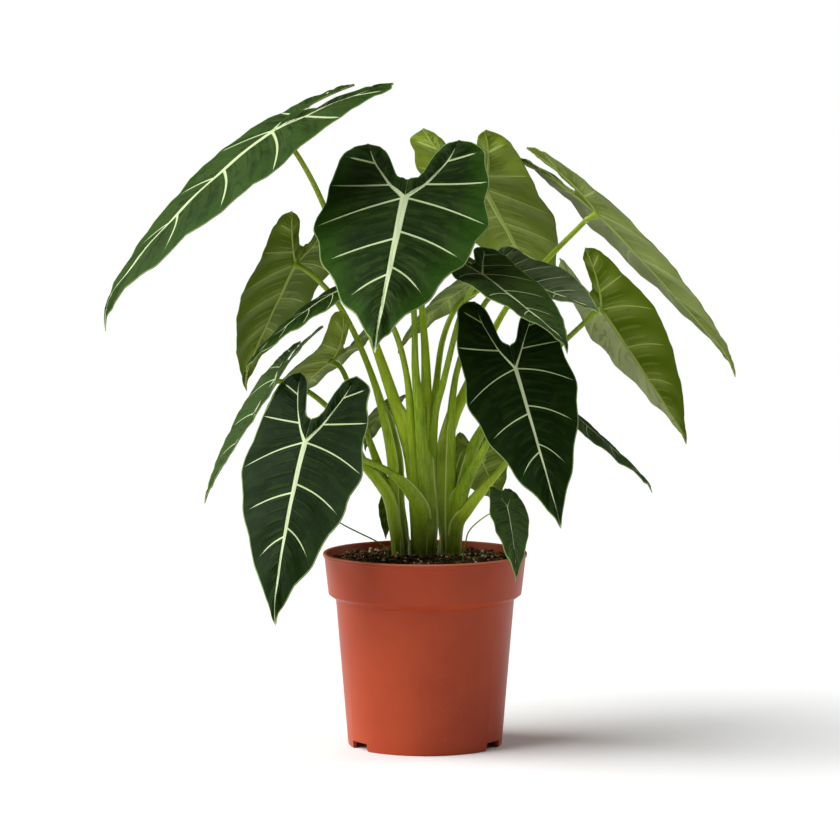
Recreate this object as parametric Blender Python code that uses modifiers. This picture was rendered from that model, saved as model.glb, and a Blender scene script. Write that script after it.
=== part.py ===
"""Potted alocasia: a terracotta-coloured nursery pot, its soil, three leafy shoots and their blades.

Lengths are in millimetres and angles in degrees up to the meshes, which are in metres.
The origin is on the floor under the middle of the plant, +Z is up, and the front is at -Y.
"""
import math

import bmesh
import bpy
from mathutils import Vector

MM = 0.001
GAP = 0.3

# Pot
POT_HEIGHT = 161.0
RIM_RADIUS = 85.0
LIP_HEIGHT = 3.0
BAND_TOP_RADIUS = 83.9
BAND_BOTTOM_RADIUS = 80.4
BAND_BOTTOM = 126.5
BODY_TOP = 122.0
BODY_TOP_RADIUS = 74.3
FOOT_RADIUS = 64.2
FOOT_RING_WIDTH = 3.2
POT_WALL = 1.7
FLOOR_UNDERSIDE = 7.0
FLOOR_THICKNESS = 2.0
POT_SIDES = 48
RIM_ROUNDING = 0.6
LIP_UNDERCUT = 0.8
FOOT_CHAMFER = 0.8
NOTCH_WIDTH = 24.0
NOTCH_HEIGHT = 6.5
NOTCH_SLANT = 1.5
NOTCH_ANGLES = (-58.0, 62.0, 182.0)
DRAIN_RADIUS = 4.0
DRAIN_CIRCLE = 42.0
DRAIN_COUNT = 6
DRAIN_TURN = 34.0
DRAIN_SIDES = 12

# Soil
SOIL_GAP = 0.45
SOIL_EDGE = 153.0
SOIL_MOUND = 4.5
SOIL_RELIEF = 0.9
SOIL_RINGS = 9

# Shoots: centre and radius of the round base that stands in the soil
SHOOT_BASES = {
    "left": ((-21.0, 11.0), 7.5),
    "middle": ((-1.5, 10.0), 10.8),
    "right": ((22.5, 12.0), 9.0),
    "small_right": ((30.0, -24.0), 2.6),
    "small_left": ((-29.0, -9.0), 2.6),
}
SHOOT_FOOT = 134.0
SHOOT_COLLAR = 163.0
BASE_SIDES = 24
BASE_MARGIN = 0.4

# Petioles: bare stalk's radius at the blade, and at the foot as a share of the sheath's radius;
# the sheath is full up to SHEATH_FULL of the length and has ended at SHEATH_TOP
PETIOLE_TIP_RADIUS = 2.1
PETIOLE_BARE = 0.58
SHEATH_TOP = 0.64
SHEATH_FULL = 0.3
PETIOLE_STEP = 16.0
PETIOLE_SLACK = 0.25

# Blade of unit length from the petiole's junction (0, 0) to the tip (1, 0).
# Each curve has one point for each main vein, from the back lobe's end to the tip.
# The outer margin swells a little where a vein reaches it, and dips between veins.
SPINE = (
    (-0.39, 0.175), (-0.26, 0.145), (-0.105, 0.075), (0.0, 0.0),
    (0.26, 0.0), (0.5, 0.0), (0.75, 0.0), (1.0, 0.0),
)
MARGIN = (
    (-0.39, 0.175), (-0.33, 0.275), (-0.14, 0.33), (0.15, 0.38),
    (0.4, 0.31), (0.675, 0.18), (0.885, 0.05), (1.0, 0.0),
)
SINUS = ((-0.39, 0.175), (-0.33, 0.105), (-0.165, 0.05), (-0.125, 0.0))
JUNCTION = 3
SCALLOP = 0.012
VEIN_BOW = 0.16
FOLD_EASE = 1.1
DRIP_START = 0.8
BLADE_THICKNESS = 0.8
MIDRIB_THICKNESS = 2.0

# Grid of a blade: lines from each main vein to the next, and steps from a vein to the edges
VEIN_LINES = 2
BLADE_COLUMNS = 2
LOBE_COLUMNS = 1

# Petiole's end: how far under the blade it turns up towards the junction, and how far behind
NECK_LOW = 9.0
NECK_HIGH = 3.0
NECK_BACK = 2.5


class Leaf:
    """One leaf: where its blade hangs, how the blade is bent, and the way of its petiole."""

    def __init__(self, shoot, junction, tip, route, roll=0.0, width=0.36, lobe=0.43, arch=30.0,
                 fold=-5.0, curl=20.0, lobe_bend=10.0, lobe_turn=0.0, lobe_skew=0.0, lobe_width=1.0,
                 wave=0.012, notch=1.0, base=6.0):
        self.shoot = shoot
        self.junction = Vector(junction)
        self.tip = Vector(tip)
        self.route = [Vector(point) for point in route]
        self.roll = roll
        self.width = width
        self.lobe = lobe
        self.arch = arch
        self.fold = fold
        self.curl = curl
        self.lobe_bend = lobe_bend
        self.wave = wave
        self.lobe_turn = lobe_turn
        self.lobe_skew = lobe_skew
        self.lobe_width = lobe_width
        self.notch = notch
        self.base = base


LEAVES = {
    "leaf_front_top": Leaf(
        "middle", (-17, -5, 456), (-40, -156, 339),
        [(2, 4, 191), (-1, 0, 228), (-4, -4, 272), (-8, -6, 314), (-9, -8, 359), (-14, -7, 420)],
        roll=-1, width=0.37, lobe=0.39, arch=3, fold=-11, curl=15, lobe_bend=-11, lobe_turn=-3,
        lobe_width=1.17),
    "leaf_far_left": Leaf(
        "middle", (-127, 18, 510), (-263, -26, 347),
        [(-7, 10, 190), (-11, 12, 233), (-18, 12, 263), (-28, 12, 294), (-40, 13, 329), (-62, 16, 391),
         (-86, 18, 453), (-105, 18, 489)],
        roll=10, width=0.25, lobe=0.45, arch=23, fold=-11, curl=36, lobe_bend=16, lobe_turn=-1,
        lobe_skew=0.2, lobe_width=0.76, wave=0.005),
    "leaf_upper_left": Leaf(
        "left", (-108, 42, 399), (-153, 118, 285),
        [(-25, 11, 200), (-27, 12, 241), (-39, 16, 291), (-55, 24, 333), (-72, 31, 365), (-88, 37, 384)],
        roll=13, width=0.32, lobe=0.4, arch=3, fold=0, curl=36, lobe_bend=-17, lobe_turn=-3,
        lobe_width=1.21),
    "leaf_left_folded": Leaf(
        "middle", (-76, -25, 378), (-147, -35, 314),
        [(-6, 6, 200), (-11, 5, 265), (-15, 1, 307), (-24, -4, 343), (-37, -10, 362), (-60, -21, 374)],
        roll=6, width=0.3, lobe=0.43, arch=20, fold=-8),
    "leaf_left_back": Leaf(
        "left", (-78, 48, 317), (-141, 89, 247),
        [(-24, 13, 186), (-35, 18, 219), (-48, 25, 256), (-65, 40, 300)],
        roll=-2, width=0.32, lobe=0.5, arch=17, fold=9, curl=14, lobe_bend=-20, lobe_turn=15,
        lobe_skew=0.22, lobe_width=1.24),
    "leaf_left_low_narrow": Leaf(
        "left", (-125, 26, 303), (-183, -8, 202),
        [(-25, 8, 183), (-30, 8, 206), (-40, 9, 221), (-50, 11, 233), (-66, 15, 264), (-93, 22, 290)],
        roll=-17, width=0.37, lobe=0.41, arch=3, fold=9, curl=12, lobe_bend=16, lobe_skew=0.19,
        lobe_width=0.8, wave=0.006),
    "leaf_front_left": Leaf(
        "middle", (-98, -64, 259), (-121, -107, 114),
        [(-4, 4, 180), (-5, -5, 199), (-18, -20, 220), (-32, -32, 233), (-49, -42, 242), (-74, -53, 254)],
        roll=2, width=0.35, lobe=0.42, arch=18, fold=-12, curl=20, lobe_bend=2, lobe_turn=4,
        lobe_skew=0.02, lobe_width=1.03),
    "leaf_small_behind_left": Leaf(
        "left", (-33, 38, 278), (-50, 50, 240),
        [(-24, 14, 190), (-27, 18, 219), (-29, 26, 252)],
        width=0.4),
    "leaf_big_back": Leaf(
        "middle", (50, 82, 460), (104, 157, 354),
        [(0, 8, 220), (1, 9, 291), (0, 12, 330), (-3, 20, 372), (-1, 39, 408), (20, 63, 437)],
        roll=-6, width=0.46, lobe=0.44, arch=3, fold=-5, curl=12, lobe_bend=-23, lobe_turn=17,
        lobe_skew=0.07, lobe_width=1.3),
    "leaf_far_right": Leaf(
        "right", (143, 18, 442), (262, 61, 302),
        [(16, 12, 197), (16, 14, 241), (23, 16, 270), (32, 22, 290), (65, 48, 356), (98, 61, 396),
         (131, 36, 432)],
        roll=-5, width=0.44, lobe=0.43, arch=3, fold=2, curl=22, lobe_bend=12, lobe_turn=11,
        lobe_skew=-0.03, lobe_width=1.09, wave=0.006),
    "leaf_right_dark_front": Leaf(
        "middle", (47, -34, 394), (114, -114, 335),
        [(4, 8, 215), (7, 7, 271), (15, 3, 302), (26, -1, 347), (35, -5, 374)],
        roll=5, width=0.37, lobe=0.44, arch=3, fold=8, curl=36, lobe_bend=-12, lobe_turn=10,
        lobe_skew=-0.14, lobe_width=1.3),
    "leaf_right_dark_back": Leaf(
        "right", (69, 30, 388), (144, -46, 362),
        [(20, 10, 215), (25, 11, 304), (48, 20, 364)],
        roll=-9, lobe=0.38, arch=3, fold=14, curl=12, lobe_bend=-30, lobe_turn=15, lobe_width=1.1),
    "leaf_middle_back": Leaf(
        "middle", (40, 90, 380), (-23, 96, 319),
        [(3, 14, 240), (9, 24, 295), (15, 46, 335), (28, 72, 362)],
        roll=-18, lobe=0.36, arch=20),
    "leaf_right_back": Leaf(
        "right", (148, 54, 359), (221, 62, 245),
        [(25, 14, 183), (33, 16, 226), (47, 20, 260), (79, 43, 297), (120, 47, 336), (136, 49, 351)],
        roll=33, width=0.34, lobe=0.4, arch=3, fold=22, curl=12, lobe_bend=-13, lobe_turn=7,
        lobe_skew=0.06, lobe_width=0.89),
    "leaf_front_right": Leaf(
        "right", (74, -49, 318), (110, -91, 191),
        [(26, 8, 183), (33, 0, 216), (52, -18, 255), (66, -34, 287)],
        roll=-31, width=0.33, lobe=0.47, arch=3, fold=-7, curl=12, lobe_bend=27, lobe_turn=15,
        lobe_skew=-0.06, lobe_width=1.12),
    "leaf_right_low_narrow": Leaf(
        "right", (111, 4, 286), (188, -14, 212),
        [(27, 9, 183), (33, 4, 194), (46, 1, 211), (66, 0, 234), (90, 2, 263)],
        roll=3, width=0.34, arch=5, fold=-8),
    "leaf_small_over_rim": Leaf(
        "small_right", (67, -62, 206), (73, -103, 150),
        [(33, -26, 170), (37, -36, 184), (51, -52, 198)],
        roll=14, width=0.24, lobe=0.38, arch=17, fold=2, lobe_bend=31, lobe_width=0.82, notch=0.3,
        base=0.6),
    "leaf_small_right_back": Leaf(
        "right", (46, 41, 238), (65, 77, 192),
        [(26, 18, 195), (32, 23, 214), (40, 31, 229)],
        roll=46, width=0.43, lobe=0.5, arch=14, fold=3, curl=12, lobe_bend=-10, lobe_skew=0.13,
        lobe_width=0.7),
    "leaf_small_by_stems": Leaf(
        "left", (-29, 35, 202), (-33, 45, 166),
        [(-24, 17, 180), (-26, 26, 198)],
        width=0.26, arch=12, base=2.0),
    "leaf_small_behind_front": Leaf(
        "small_left", (-91, -20, 203), (-111, -45, 156),
        [(-32, -8, 165), (-41, -6, 171), (-70, -16, 187)],
        width=0.33, arch=15, base=0.6),
}


def curve_point(points, parameter):
    """Point of a smooth curve that passes the point with index i at parameter i."""
    index = min(int(parameter), len(points) - 2)
    t = parameter - index
    b = Vector(points[index])
    c = Vector(points[index + 1])
    a = Vector(points[index - 1]) if index > 0 else 2 * b - c
    d = Vector(points[index + 2]) if index + 2 < len(points) else 2 * c - b
    return 0.5 * (2 * b + (c - a) * t + (2 * a - 5 * b + 4 * c - d) * t * t
                  + (3 * b - a - 3 * c + d) * t ** 3)


def make_material(name, colour, roughness):
    """Material with a Principled BSDF."""
    material = bpy.data.materials.new(name)
    material.use_nodes = True
    shader = material.node_tree.nodes["Principled BSDF"]
    shader.inputs["Base Color"].default_value = (*colour, 1.0)
    shader.inputs["Roughness"].default_value = roughness
    shader.inputs["Metallic"].default_value = 0.0
    material.diffuse_color = (*colour, 1.0)
    return material


def add_object(name, mesh, collection, material=None):
    """Object of a mesh, linked to a collection."""
    node = bpy.data.objects.new(name, mesh)
    if material is not None:
        mesh.materials.clear()
        mesh.materials.append(material)
    collection.objects.link(node)
    return node


def mesh_from_bmesh(name, bm):
    """Mesh with outward faces, in metres, from a bmesh in millimetres."""
    bmesh.ops.recalc_face_normals(bm, faces=bm.faces)
    bmesh.ops.scale(bm, vec=(MM, MM, MM), verts=bm.verts)
    mesh = bpy.data.meshes.new(name)
    bm.to_mesh(mesh)
    bm.free()
    return mesh


def applied(node):
    """Replace an object's data by its evaluated mesh, with the modifiers gone."""
    graph = bpy.context.evaluated_depsgraph_get()
    graph.update()
    mesh = bpy.data.meshes.new_from_object(node.evaluated_get(graph))
    node.modifiers.clear()
    node.data = mesh
    return node


def turned(name, profile, collection, material=None):
    """Turned solid: a closed profile of (radius, height), down its outer side first."""
    mesh = bpy.data.meshes.new(name)
    points = [(radius * MM, 0.0, height * MM) for radius, height in profile]
    on_axis = profile[0][0] == 0.0 and profile[-1][0] == 0.0
    count = len(points) if not on_axis else len(points) - 1
    edges = [(i, (i + 1) % len(points)) for i in range(count)]
    mesh.from_pydata(points, edges, [])
    node = add_object(name, mesh, collection, material)
    screw = node.modifiers.new("turn", "SCREW")
    screw.axis = "Z"
    screw.steps = POT_SIDES
    screw.render_steps = POT_SIDES
    screw.use_merge_vertices = True
    screw.merge_threshold = 0.00001
    return applied(node)


def cylinder(name, centre, radius, low, high, sides, collection):
    """Upright closed cylinder."""
    bm = bmesh.new()
    depth = high - low
    bmesh.ops.create_cone(bm, cap_ends=True, segments=sides, radius1=radius, radius2=radius, depth=depth)
    bmesh.ops.translate(bm, vec=(centre[0], centre[1], (low + high) / 2), verts=bm.verts)
    node = add_object(name, mesh_from_bmesh(name, bm), collection)
    if collection.hide_render:
        node.display_type = "WIRE"
    return node


def combine(node, others, operation):
    """Cut a collection's objects from a node, or join them to it, and remove them."""
    boolean = node.modifiers.new("combine", "BOOLEAN")
    boolean.operation = operation
    boolean.operand_type = "COLLECTION"
    boolean.collection = others
    boolean.solver = "EXACT"
    applied(node)
    for other in list(others.objects):
        bpy.data.objects.remove(other)
    drop_scraps(node.data)
    return node


def drop_scraps(mesh):
    """Delete pairs of faces that lie back to back and hold nothing between them."""
    bm = bmesh.new()
    bm.from_mesh(mesh)
    seen = {}
    for face in bm.faces:
        seen.setdefault(frozenset(vertex.index for vertex in face.verts), []).append(face)
    scraps = [face for faces in seen.values() if len(faces) > 1 for face in faces]
    bmesh.ops.delete(bm, geom=scraps, context="FACES_ONLY")
    loose = [edge for edge in bm.edges if not edge.link_faces]
    bmesh.ops.delete(bm, geom=loose, context="EDGES")
    lone = [vertex for vertex in bm.verts if not vertex.link_faces]
    bmesh.ops.delete(bm, geom=lone, context="VERTS")
    bm.to_mesh(mesh)
    bm.free()


def wall_inside(height):
    """Radius of the pot's inner wall at a height above the floor."""
    if height <= BODY_TOP:
        share = height / BODY_TOP
        return FOOT_RADIUS + share * (BODY_TOP_RADIUS - FOOT_RADIUS) - POT_WALL
    if height <= BAND_BOTTOM:
        share = (height - BODY_TOP) / (BAND_BOTTOM - BODY_TOP)
        return BODY_TOP_RADIUS + share * (BAND_BOTTOM_RADIUS - BODY_TOP_RADIUS) - POT_WALL
    share = (height - BAND_BOTTOM) / (POT_HEIGHT - BAND_BOTTOM)
    return BAND_BOTTOM_RADIUS + share * (BAND_TOP_RADIUS - BAND_BOTTOM_RADIUS) - POT_WALL


def build_pot(parts, cutters):
    """Pot: a thin wall with a rim band, a raised floor and a foot ring with three notches."""
    floor_top = FLOOR_UNDERSIDE + FLOOR_THICKNESS
    lip_bottom = POT_HEIGHT - LIP_HEIGHT
    profile = [
        (RIM_RADIUS - RIM_ROUNDING, POT_HEIGHT),
        (RIM_RADIUS, POT_HEIGHT - RIM_ROUNDING),
        (RIM_RADIUS, lip_bottom),
        (BAND_TOP_RADIUS, lip_bottom - LIP_UNDERCUT),
        (BAND_BOTTOM_RADIUS, BAND_BOTTOM),
        (BODY_TOP_RADIUS, BODY_TOP),
        (FOOT_RADIUS, FOOT_CHAMFER),
        (FOOT_RADIUS - FOOT_CHAMFER, 0.0),
        (FOOT_RADIUS - FOOT_RING_WIDTH, 0.0),
        (FOOT_RADIUS - FOOT_RING_WIDTH, FLOOR_UNDERSIDE),
        (DRAIN_RADIUS, FLOOR_UNDERSIDE),
        (DRAIN_RADIUS, floor_top),
        (wall_inside(floor_top), floor_top),
        (wall_inside(BODY_TOP), BODY_TOP + POT_WALL / 2),
        (wall_inside(BAND_BOTTOM), BAND_BOTTOM + POT_WALL / 2),
        (wall_inside(POT_HEIGHT), POT_HEIGHT),
    ]
    material = make_material("terracotta_plastic", (0.37, 0.085, 0.045), 0.4)
    pot = turned("pot", profile, parts, material)
    for number, angle in enumerate(NOTCH_ANGLES):
        bm = bmesh.new()
        bmesh.ops.create_cube(bm, size=1.0)
        reach = 4 * FOOT_RING_WIDTH
        bmesh.ops.scale(bm, vec=(NOTCH_WIDTH, reach, 2 * NOTCH_HEIGHT), verts=bm.verts)
        for vertex in bm.verts:
            if vertex.co.z > 0:
                vertex.co.x -= math.copysign(NOTCH_SLANT, vertex.co.x)
        bmesh.ops.translate(bm, vec=(0.0, -FOOT_RADIUS, 0.0), verts=bm.verts)
        cutter = add_object("notch_%d" % number, mesh_from_bmesh("notch", bm), cutters)
        cutter.rotation_euler.z = math.radians(angle)
        cutter.display_type = "WIRE"
    for number in range(DRAIN_COUNT):
        angle = 2 * math.pi * number / DRAIN_COUNT + math.radians(DRAIN_TURN)
        centre = (DRAIN_CIRCLE * math.cos(angle), DRAIN_CIRCLE * math.sin(angle))
        low = FLOOR_UNDERSIDE - FLOOR_THICKNESS
        high = floor_top + FLOOR_THICKNESS
        cylinder("drain_%d" % number, centre, DRAIN_RADIUS, low, high, DRAIN_SIDES, cutters)
    combine(pot, cutters, "DIFFERENCE")
    pot.data.shade_smooth()
    pot.data.set_sharp_from_angle(angle=math.radians(30))
    return pot


def soil_height(x, y):
    """Height of the soil's surface: a low mound with crumbs."""
    radius = math.hypot(x, y)
    mound = SOIL_EDGE + SOIL_MOUND * (1 - (radius / BAND_TOP_RADIUS) ** 2)
    crumbs = math.sin(0.31 * x + 1.3) * math.cos(0.27 * y) + 0.6 * math.sin(0.53 * y - 0.37 * x)
    return mound + SOIL_RELIEF * crumbs


def build_soil(parts, cutters):
    """Soil: fills the pot up to a low mound and has a plain round hole for each shoot."""
    bottom = FLOOR_UNDERSIDE + FLOOR_THICKNESS + SOIL_GAP
    edge = wall_inside(SOIL_EDGE) - SOIL_GAP
    profile = [(edge * (ring / SOIL_RINGS), SOIL_EDGE) for ring in range(SOIL_RINGS + 1)]
    profile += [
        (wall_inside(BAND_BOTTOM) - SOIL_GAP, BAND_BOTTOM + POT_WALL / 2 + GAP),
        (wall_inside(BODY_TOP) - SOIL_GAP, BODY_TOP + POT_WALL / 2 + GAP),
        (wall_inside(bottom) - SOIL_GAP, bottom),
        (0.0, bottom),
    ]
    soil = turned("soil", profile, parts, make_material("potting_soil", (0.035, 0.02, 0.012), 0.95))
    for vertex in soil.data.vertices:
        if vertex.co.z > (SOIL_EDGE - 1) * MM:
            vertex.co.z = soil_height(vertex.co.x / MM, vertex.co.y / MM) * MM
    bm = bmesh.new()
    bm.from_mesh(soil.data)
    bmesh.ops.triangulate(bm, faces=bm.faces)
    bm.to_mesh(soil.data)
    bm.free()
    for name, (centre, radius) in SHOOT_BASES.items():
        low = SHOOT_FOOT - GAP
        cylinder("hole_" + name, centre, radius + GAP, low, SHOOT_COLLAR + 5, BASE_SIDES, cutters)
    combine(soil, cutters, "DIFFERENCE")
    return soil


def leaf_frame(leaf):
    """Chord, side and upper-face directions of a blade, and its chord's length."""
    chord = leaf.tip - leaf.junction
    length = chord.length
    forward = chord.normalized()
    up = Vector((0, 0, 1)) - forward * forward.z
    up.normalize()
    side = up.cross(forward)
    roll = math.radians(leaf.roll)
    face = up * math.cos(roll) + side * math.sin(roll)
    return forward, face.cross(forward), face, length


def midrib(leaf, share):
    """Point and direction of the unit midrib at a share of its length, in the leaf's own frame.

    The frame's x runs along the blade, y to its right and z out of its upper face.
    """
    steps = 24
    point = Vector((0, 0, 0))
    count = max(1, int(abs(share) * steps))
    step = share / count
    for i in range(count):
        point = point + step * midrib_direction(leaf, (i + 0.5) * step)
    return point, midrib_direction(leaf, share)


def midrib_direction(leaf, share):
    """Direction of the unit midrib: it arches down, and more so in the drip tip."""
    turn = 0.0
    bend = -leaf.arch * share
    if share > DRIP_START:
        bend -= leaf.curl * (share - DRIP_START) / (1 - DRIP_START)
    if share < 0:
        back = share / SPINE[0][0]
        bend = leaf.lobe_bend * back
        turn = -math.radians(leaf.lobe_turn) * back
    bend = math.radians(bend)
    return Vector((math.cos(bend) * math.cos(turn), math.cos(bend) * math.sin(turn), math.sin(bend)))


def blade_point(leaf, along, across, vein_phase, edge):
    """Point of the bent unit blade over the flat point (along, across)."""
    if along < 0:
        across *= 1 + (leaf.lobe_width - 1) * along / SPINE[0][0]
        along *= 1 + leaf.lobe_skew * across / MARGIN[0][1]
    centre, direction = midrib(leaf, along)
    side = Vector((0, 0, 1)).cross(direction).normalized()
    normal = direction.cross(side)
    reach = abs(across)
    rise = math.sin(math.radians(leaf.fold)) * reach * (1 - FOLD_EASE * reach)
    swell = leaf.wave * math.sin(math.pi * vein_phase) ** 2 * edge
    return centre + side * across + normal * (rise + swell)


def flat_point(leaf, strip, phase, share):
    """Point (along, across) of the flat unit blade's right half.

    The phase counts the main veins from the back lobe's end (0) to the tip, and the share
    runs from the midrib or basal vein (0) to the edge (1). The outer strip ends at the outer
    edge, and the inner strip at the edge between the back lobes.
    """
    if phase <= JUNCTION:
        start = curve_point(SPINE[:JUNCTION + 1], phase)
    else:
        start = curve_point(SPINE[JUNCTION:], phase - JUNCTION)
    end = curve_point(MARGIN if strip == "outer" else SINUS, phase)
    if strip == "outer":
        taper = math.sin(math.pi * phase / (len(SPINE) - 1))
        swell = SCALLOP / 2 * math.cos(2 * math.pi * phase) * taper
        end += (end - start).normalized() * swell
    else:
        end.x = SPINE[0][0] + (end.x - SPINE[0][0]) * leaf.notch
    flat = start.lerp(end, share)
    if strip == "outer":
        bow = VEIN_BOW * min(max(phase - JUNCTION + 1, 0), 1)
        flat.x -= bow * (end.x - start.x) * math.sin(math.pi * share)
    along = flat.x * (leaf.lobe / -SPINE[0][0] if flat.x < 0 else 1.0)
    return along, flat.y * leaf.width / MARGIN[JUNCTION][1]


def blade_layout(leaf, lines, columns, lobe_columns):
    """Flat points and triangles of a blade, with grid lines along its main veins.

    Returns points (along, across, vein phase, share of the way to the edge) and triangles.
    """
    points = []
    index = {}
    triangles = []
    count = (len(SPINE) - 1) * lines

    def corner(mirror, strip, line, share):
        phase = line / lines
        if line == count:
            key = "tip"
        elif line == 0:
            key = mirror
        elif share == 0:
            key = (mirror if phase < JUNCTION else 0, line)
        elif strip == "inner" and phase == JUNCTION:
            key = (0, strip, line, share)
        else:
            key = (mirror, strip, line, share)
        if key not in index:
            index[key] = len(points)
            along, across = flat_point(leaf, strip, phase, share)
            points.append((along, mirror * across, phase, share))
        return index[key]

    for mirror in (1, -1):
        for strip, last, total in (("outer", count, columns), ("inner", JUNCTION * lines, lobe_columns)):
            for line in range(last):
                for column in range(total):
                    near = column / total
                    far = (column + 1) / total
                    corners = [corner(mirror, strip, line, near), corner(mirror, strip, line + 1, near),
                               corner(mirror, strip, line + 1, far), corner(mirror, strip, line, far)]
                    if (mirror == 1) == (strip == "outer"):
                        corners.reverse()
                    for triple in ((0, 1, 2), (0, 2, 3)):
                        triangle = [corners[i] for i in triple]
                        if len(set(triangle)) == 3:
                            triangles.append(triangle)
    return points, triangles


def blade_to_world(leaf):
    """Function that takes a point of the bent unit blade to its place on the plant."""
    forward, side, face, length = leaf_frame(leaf)
    tip, _ = midrib(leaf, 1.0)
    scale = length / tip.length
    local_x = tip.normalized()
    local_y = Vector((0, 0, 1)).cross(local_x).normalized()
    local_z = local_x.cross(local_y)

    def place(point):
        turned_point = forward * point.dot(local_x) + side * point.dot(local_y) + face * point.dot(local_z)
        return leaf.junction + turned_point * scale

    return place


def build_blade(name, leaf, parts, material):
    """Blade: a thin bent sheet with waved edges, thickest along its midrib."""
    points, triangles = blade_layout(leaf, VEIN_LINES, BLADE_COLUMNS, LOBE_COLUMNS)
    place = blade_to_world(leaf)
    bm = bmesh.new()
    for along, across, phase, share in points:
        bm.verts.new(place(blade_point(leaf, along, across, phase, share)))
    bm.verts.ensure_lookup_table()
    for triangle in triangles:
        bm.faces.new([bm.verts[i] for i in triangle])
    bm.normal_update()
    bmesh.ops.scale(bm, vec=(MM, MM, MM), verts=bm.verts)
    mesh = bpy.data.meshes.new(name)
    bm.to_mesh(mesh)
    bm.free()
    node = add_object(name, mesh, parts, material)
    group = node.vertex_groups.new(name="thickness")
    for number, (along, across, phase, share) in enumerate(points):
        rib = max(0.0, 1 - share) * (1 - max(along, 0.0)) if share < 0.3 else 0.0
        group.add([number], rib, "REPLACE")
    solidify = node.modifiers.new("thickness", "SOLIDIFY")
    solidify.thickness = MIDRIB_THICKNESS * MM
    solidify.thickness_vertex_group = BLADE_THICKNESS / MIDRIB_THICKNESS
    solidify.vertex_group = group.name
    solidify.offset = 0.0
    return node


def petiole_end(leaf):
    """Last points of a petiole: it turns up under the junction and stops just short of the blade."""
    place = blade_to_world(leaf)
    ahead = (place(blade_point(leaf, 0.05, 0.0, JUNCTION, 0.0)) - leaf.junction).normalized()
    _, _, face, _ = leaf_frame(leaf)
    normal = (face - ahead * face.dot(ahead)).normalized()
    droop = PETIOLE_TIP_RADIUS * math.sin(math.radians(abs(leaf.fold)))
    stop = MIDRIB_THICKNESS / 2 + GAP + PETIOLE_SLACK + droop
    end = leaf.junction - normal * stop
    return [end - normal * NECK_LOW - ahead * NECK_BACK, end - normal * NECK_HIGH, end]


def petiole_radius(leaf, share):
    """Radius at a share of the petiole's length: it tapers evenly, and a sheath swells its lower part."""
    tip = min(PETIOLE_TIP_RADIUS, leaf.base)
    foot = max(PETIOLE_BARE * leaf.base, tip)
    sheath = min(max((SHEATH_TOP - share) / (SHEATH_TOP - SHEATH_FULL), 0.0), 1.0)
    sheath *= sheath * (3 - 2 * sheath)
    return foot + (tip - foot) * share + (leaf.base - foot) * sheath


def build_petiole(name, leaf, collection):
    """Petiole: a round stalk along its route, thick at the base where it sheathes the next."""
    (x, y), radius = SHOOT_BASES[leaf.shoot]
    first = leaf.route[0]
    offset = Vector((first.x - x, first.y - y, 0))
    spread = radius - leaf.base - BASE_MARGIN
    if offset.length > spread:
        offset = offset.normalized() * max(spread, 0.0)
    root = Vector((x, y, 0)) + offset
    start = [Vector((root.x, root.y, SHOOT_FOOT + 3)), Vector((root.x, root.y, SHOOT_COLLAR - 3))]
    points = start + leaf.route + petiole_end(leaf)
    lengths = [(b - a).length for a, b in zip(points, points[1:])]
    parameters = []
    for number, length in enumerate(lengths):
        count = max(1, round(length / PETIOLE_STEP))
        parameters += [number + i / count for i in range(count)]
    parameters.append(len(lengths))
    path = [curve_point(points, parameter) for parameter in parameters]
    total = sum(lengths)
    run = 0.0
    curve = bpy.data.curves.new(name, "CURVE")
    curve.dimensions = "3D"
    curve.bevel_depth = MM
    curve.bevel_resolution = 2
    curve.use_fill_caps = True
    spline = curve.splines.new("POLY")
    spline.points.add(len(path) - 1)
    for number, point in enumerate(path):
        if number:
            run += (point - path[number - 1]).length
        share = min(run / total, 1.0)
        spline.points[number].co = (*(point * MM), 1.0)
        spline.points[number].radius = petiole_radius(leaf, share)
    node = bpy.data.objects.new(name, curve)
    collection.objects.link(node)
    applied_mesh = bpy.data.meshes.new_from_object(
        node.evaluated_get(bpy.context.evaluated_depsgraph_get()))
    bm = bmesh.new()
    bm.from_mesh(applied_mesh)
    bmesh.ops.remove_doubles(bm, verts=bm.verts, dist=0.00001)
    bmesh.ops.recalc_face_normals(bm, faces=bm.faces)
    bm.to_mesh(applied_mesh)
    bm.free()
    bpy.data.objects.remove(node)
    return add_object(name, applied_mesh, collection)


def build_shoot(name, parts, cutters, material):
    """Shoot: a round base in the soil and the petioles that rise from it, grown together."""
    centre, radius = SHOOT_BASES[name]
    shoot = cylinder("shoot_" + name, centre, radius, SHOOT_FOOT, SHOOT_COLLAR, BASE_SIDES, parts)
    shoot.data.materials.append(material)
    for leaf_name, leaf in LEAVES.items():
        if leaf.shoot == name:
            build_petiole("petiole_of_" + leaf_name, leaf, cutters)
    combine(shoot, cutters, "UNION")
    shoot.data.shade_smooth()
    return shoot


def main():
    for old in list(bpy.data.objects):
        bpy.data.objects.remove(old)
    parts = bpy.data.collections.new("potted_alocasia")
    cutters = bpy.data.collections.new("cutters")
    cutters.hide_render = True
    bpy.context.scene.collection.children.link(parts)
    bpy.context.scene.collection.children.link(cutters)
    build_pot(parts, cutters)
    build_soil(parts, cutters)
    stalk = make_material("petiole_green", (0.17, 0.28, 0.035), 0.45)
    for name in SHOOT_BASES:
        build_shoot(name, parts, cutters, stalk)
    blade = make_material("blade_green", (0.02, 0.055, 0.012), 0.45)
    for name, leaf in LEAVES.items():
        build_blade(name, leaf, parts, blade)


main()
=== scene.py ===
import math

import bmesh
import bpy
import numpy as np
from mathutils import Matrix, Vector, noise


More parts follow.
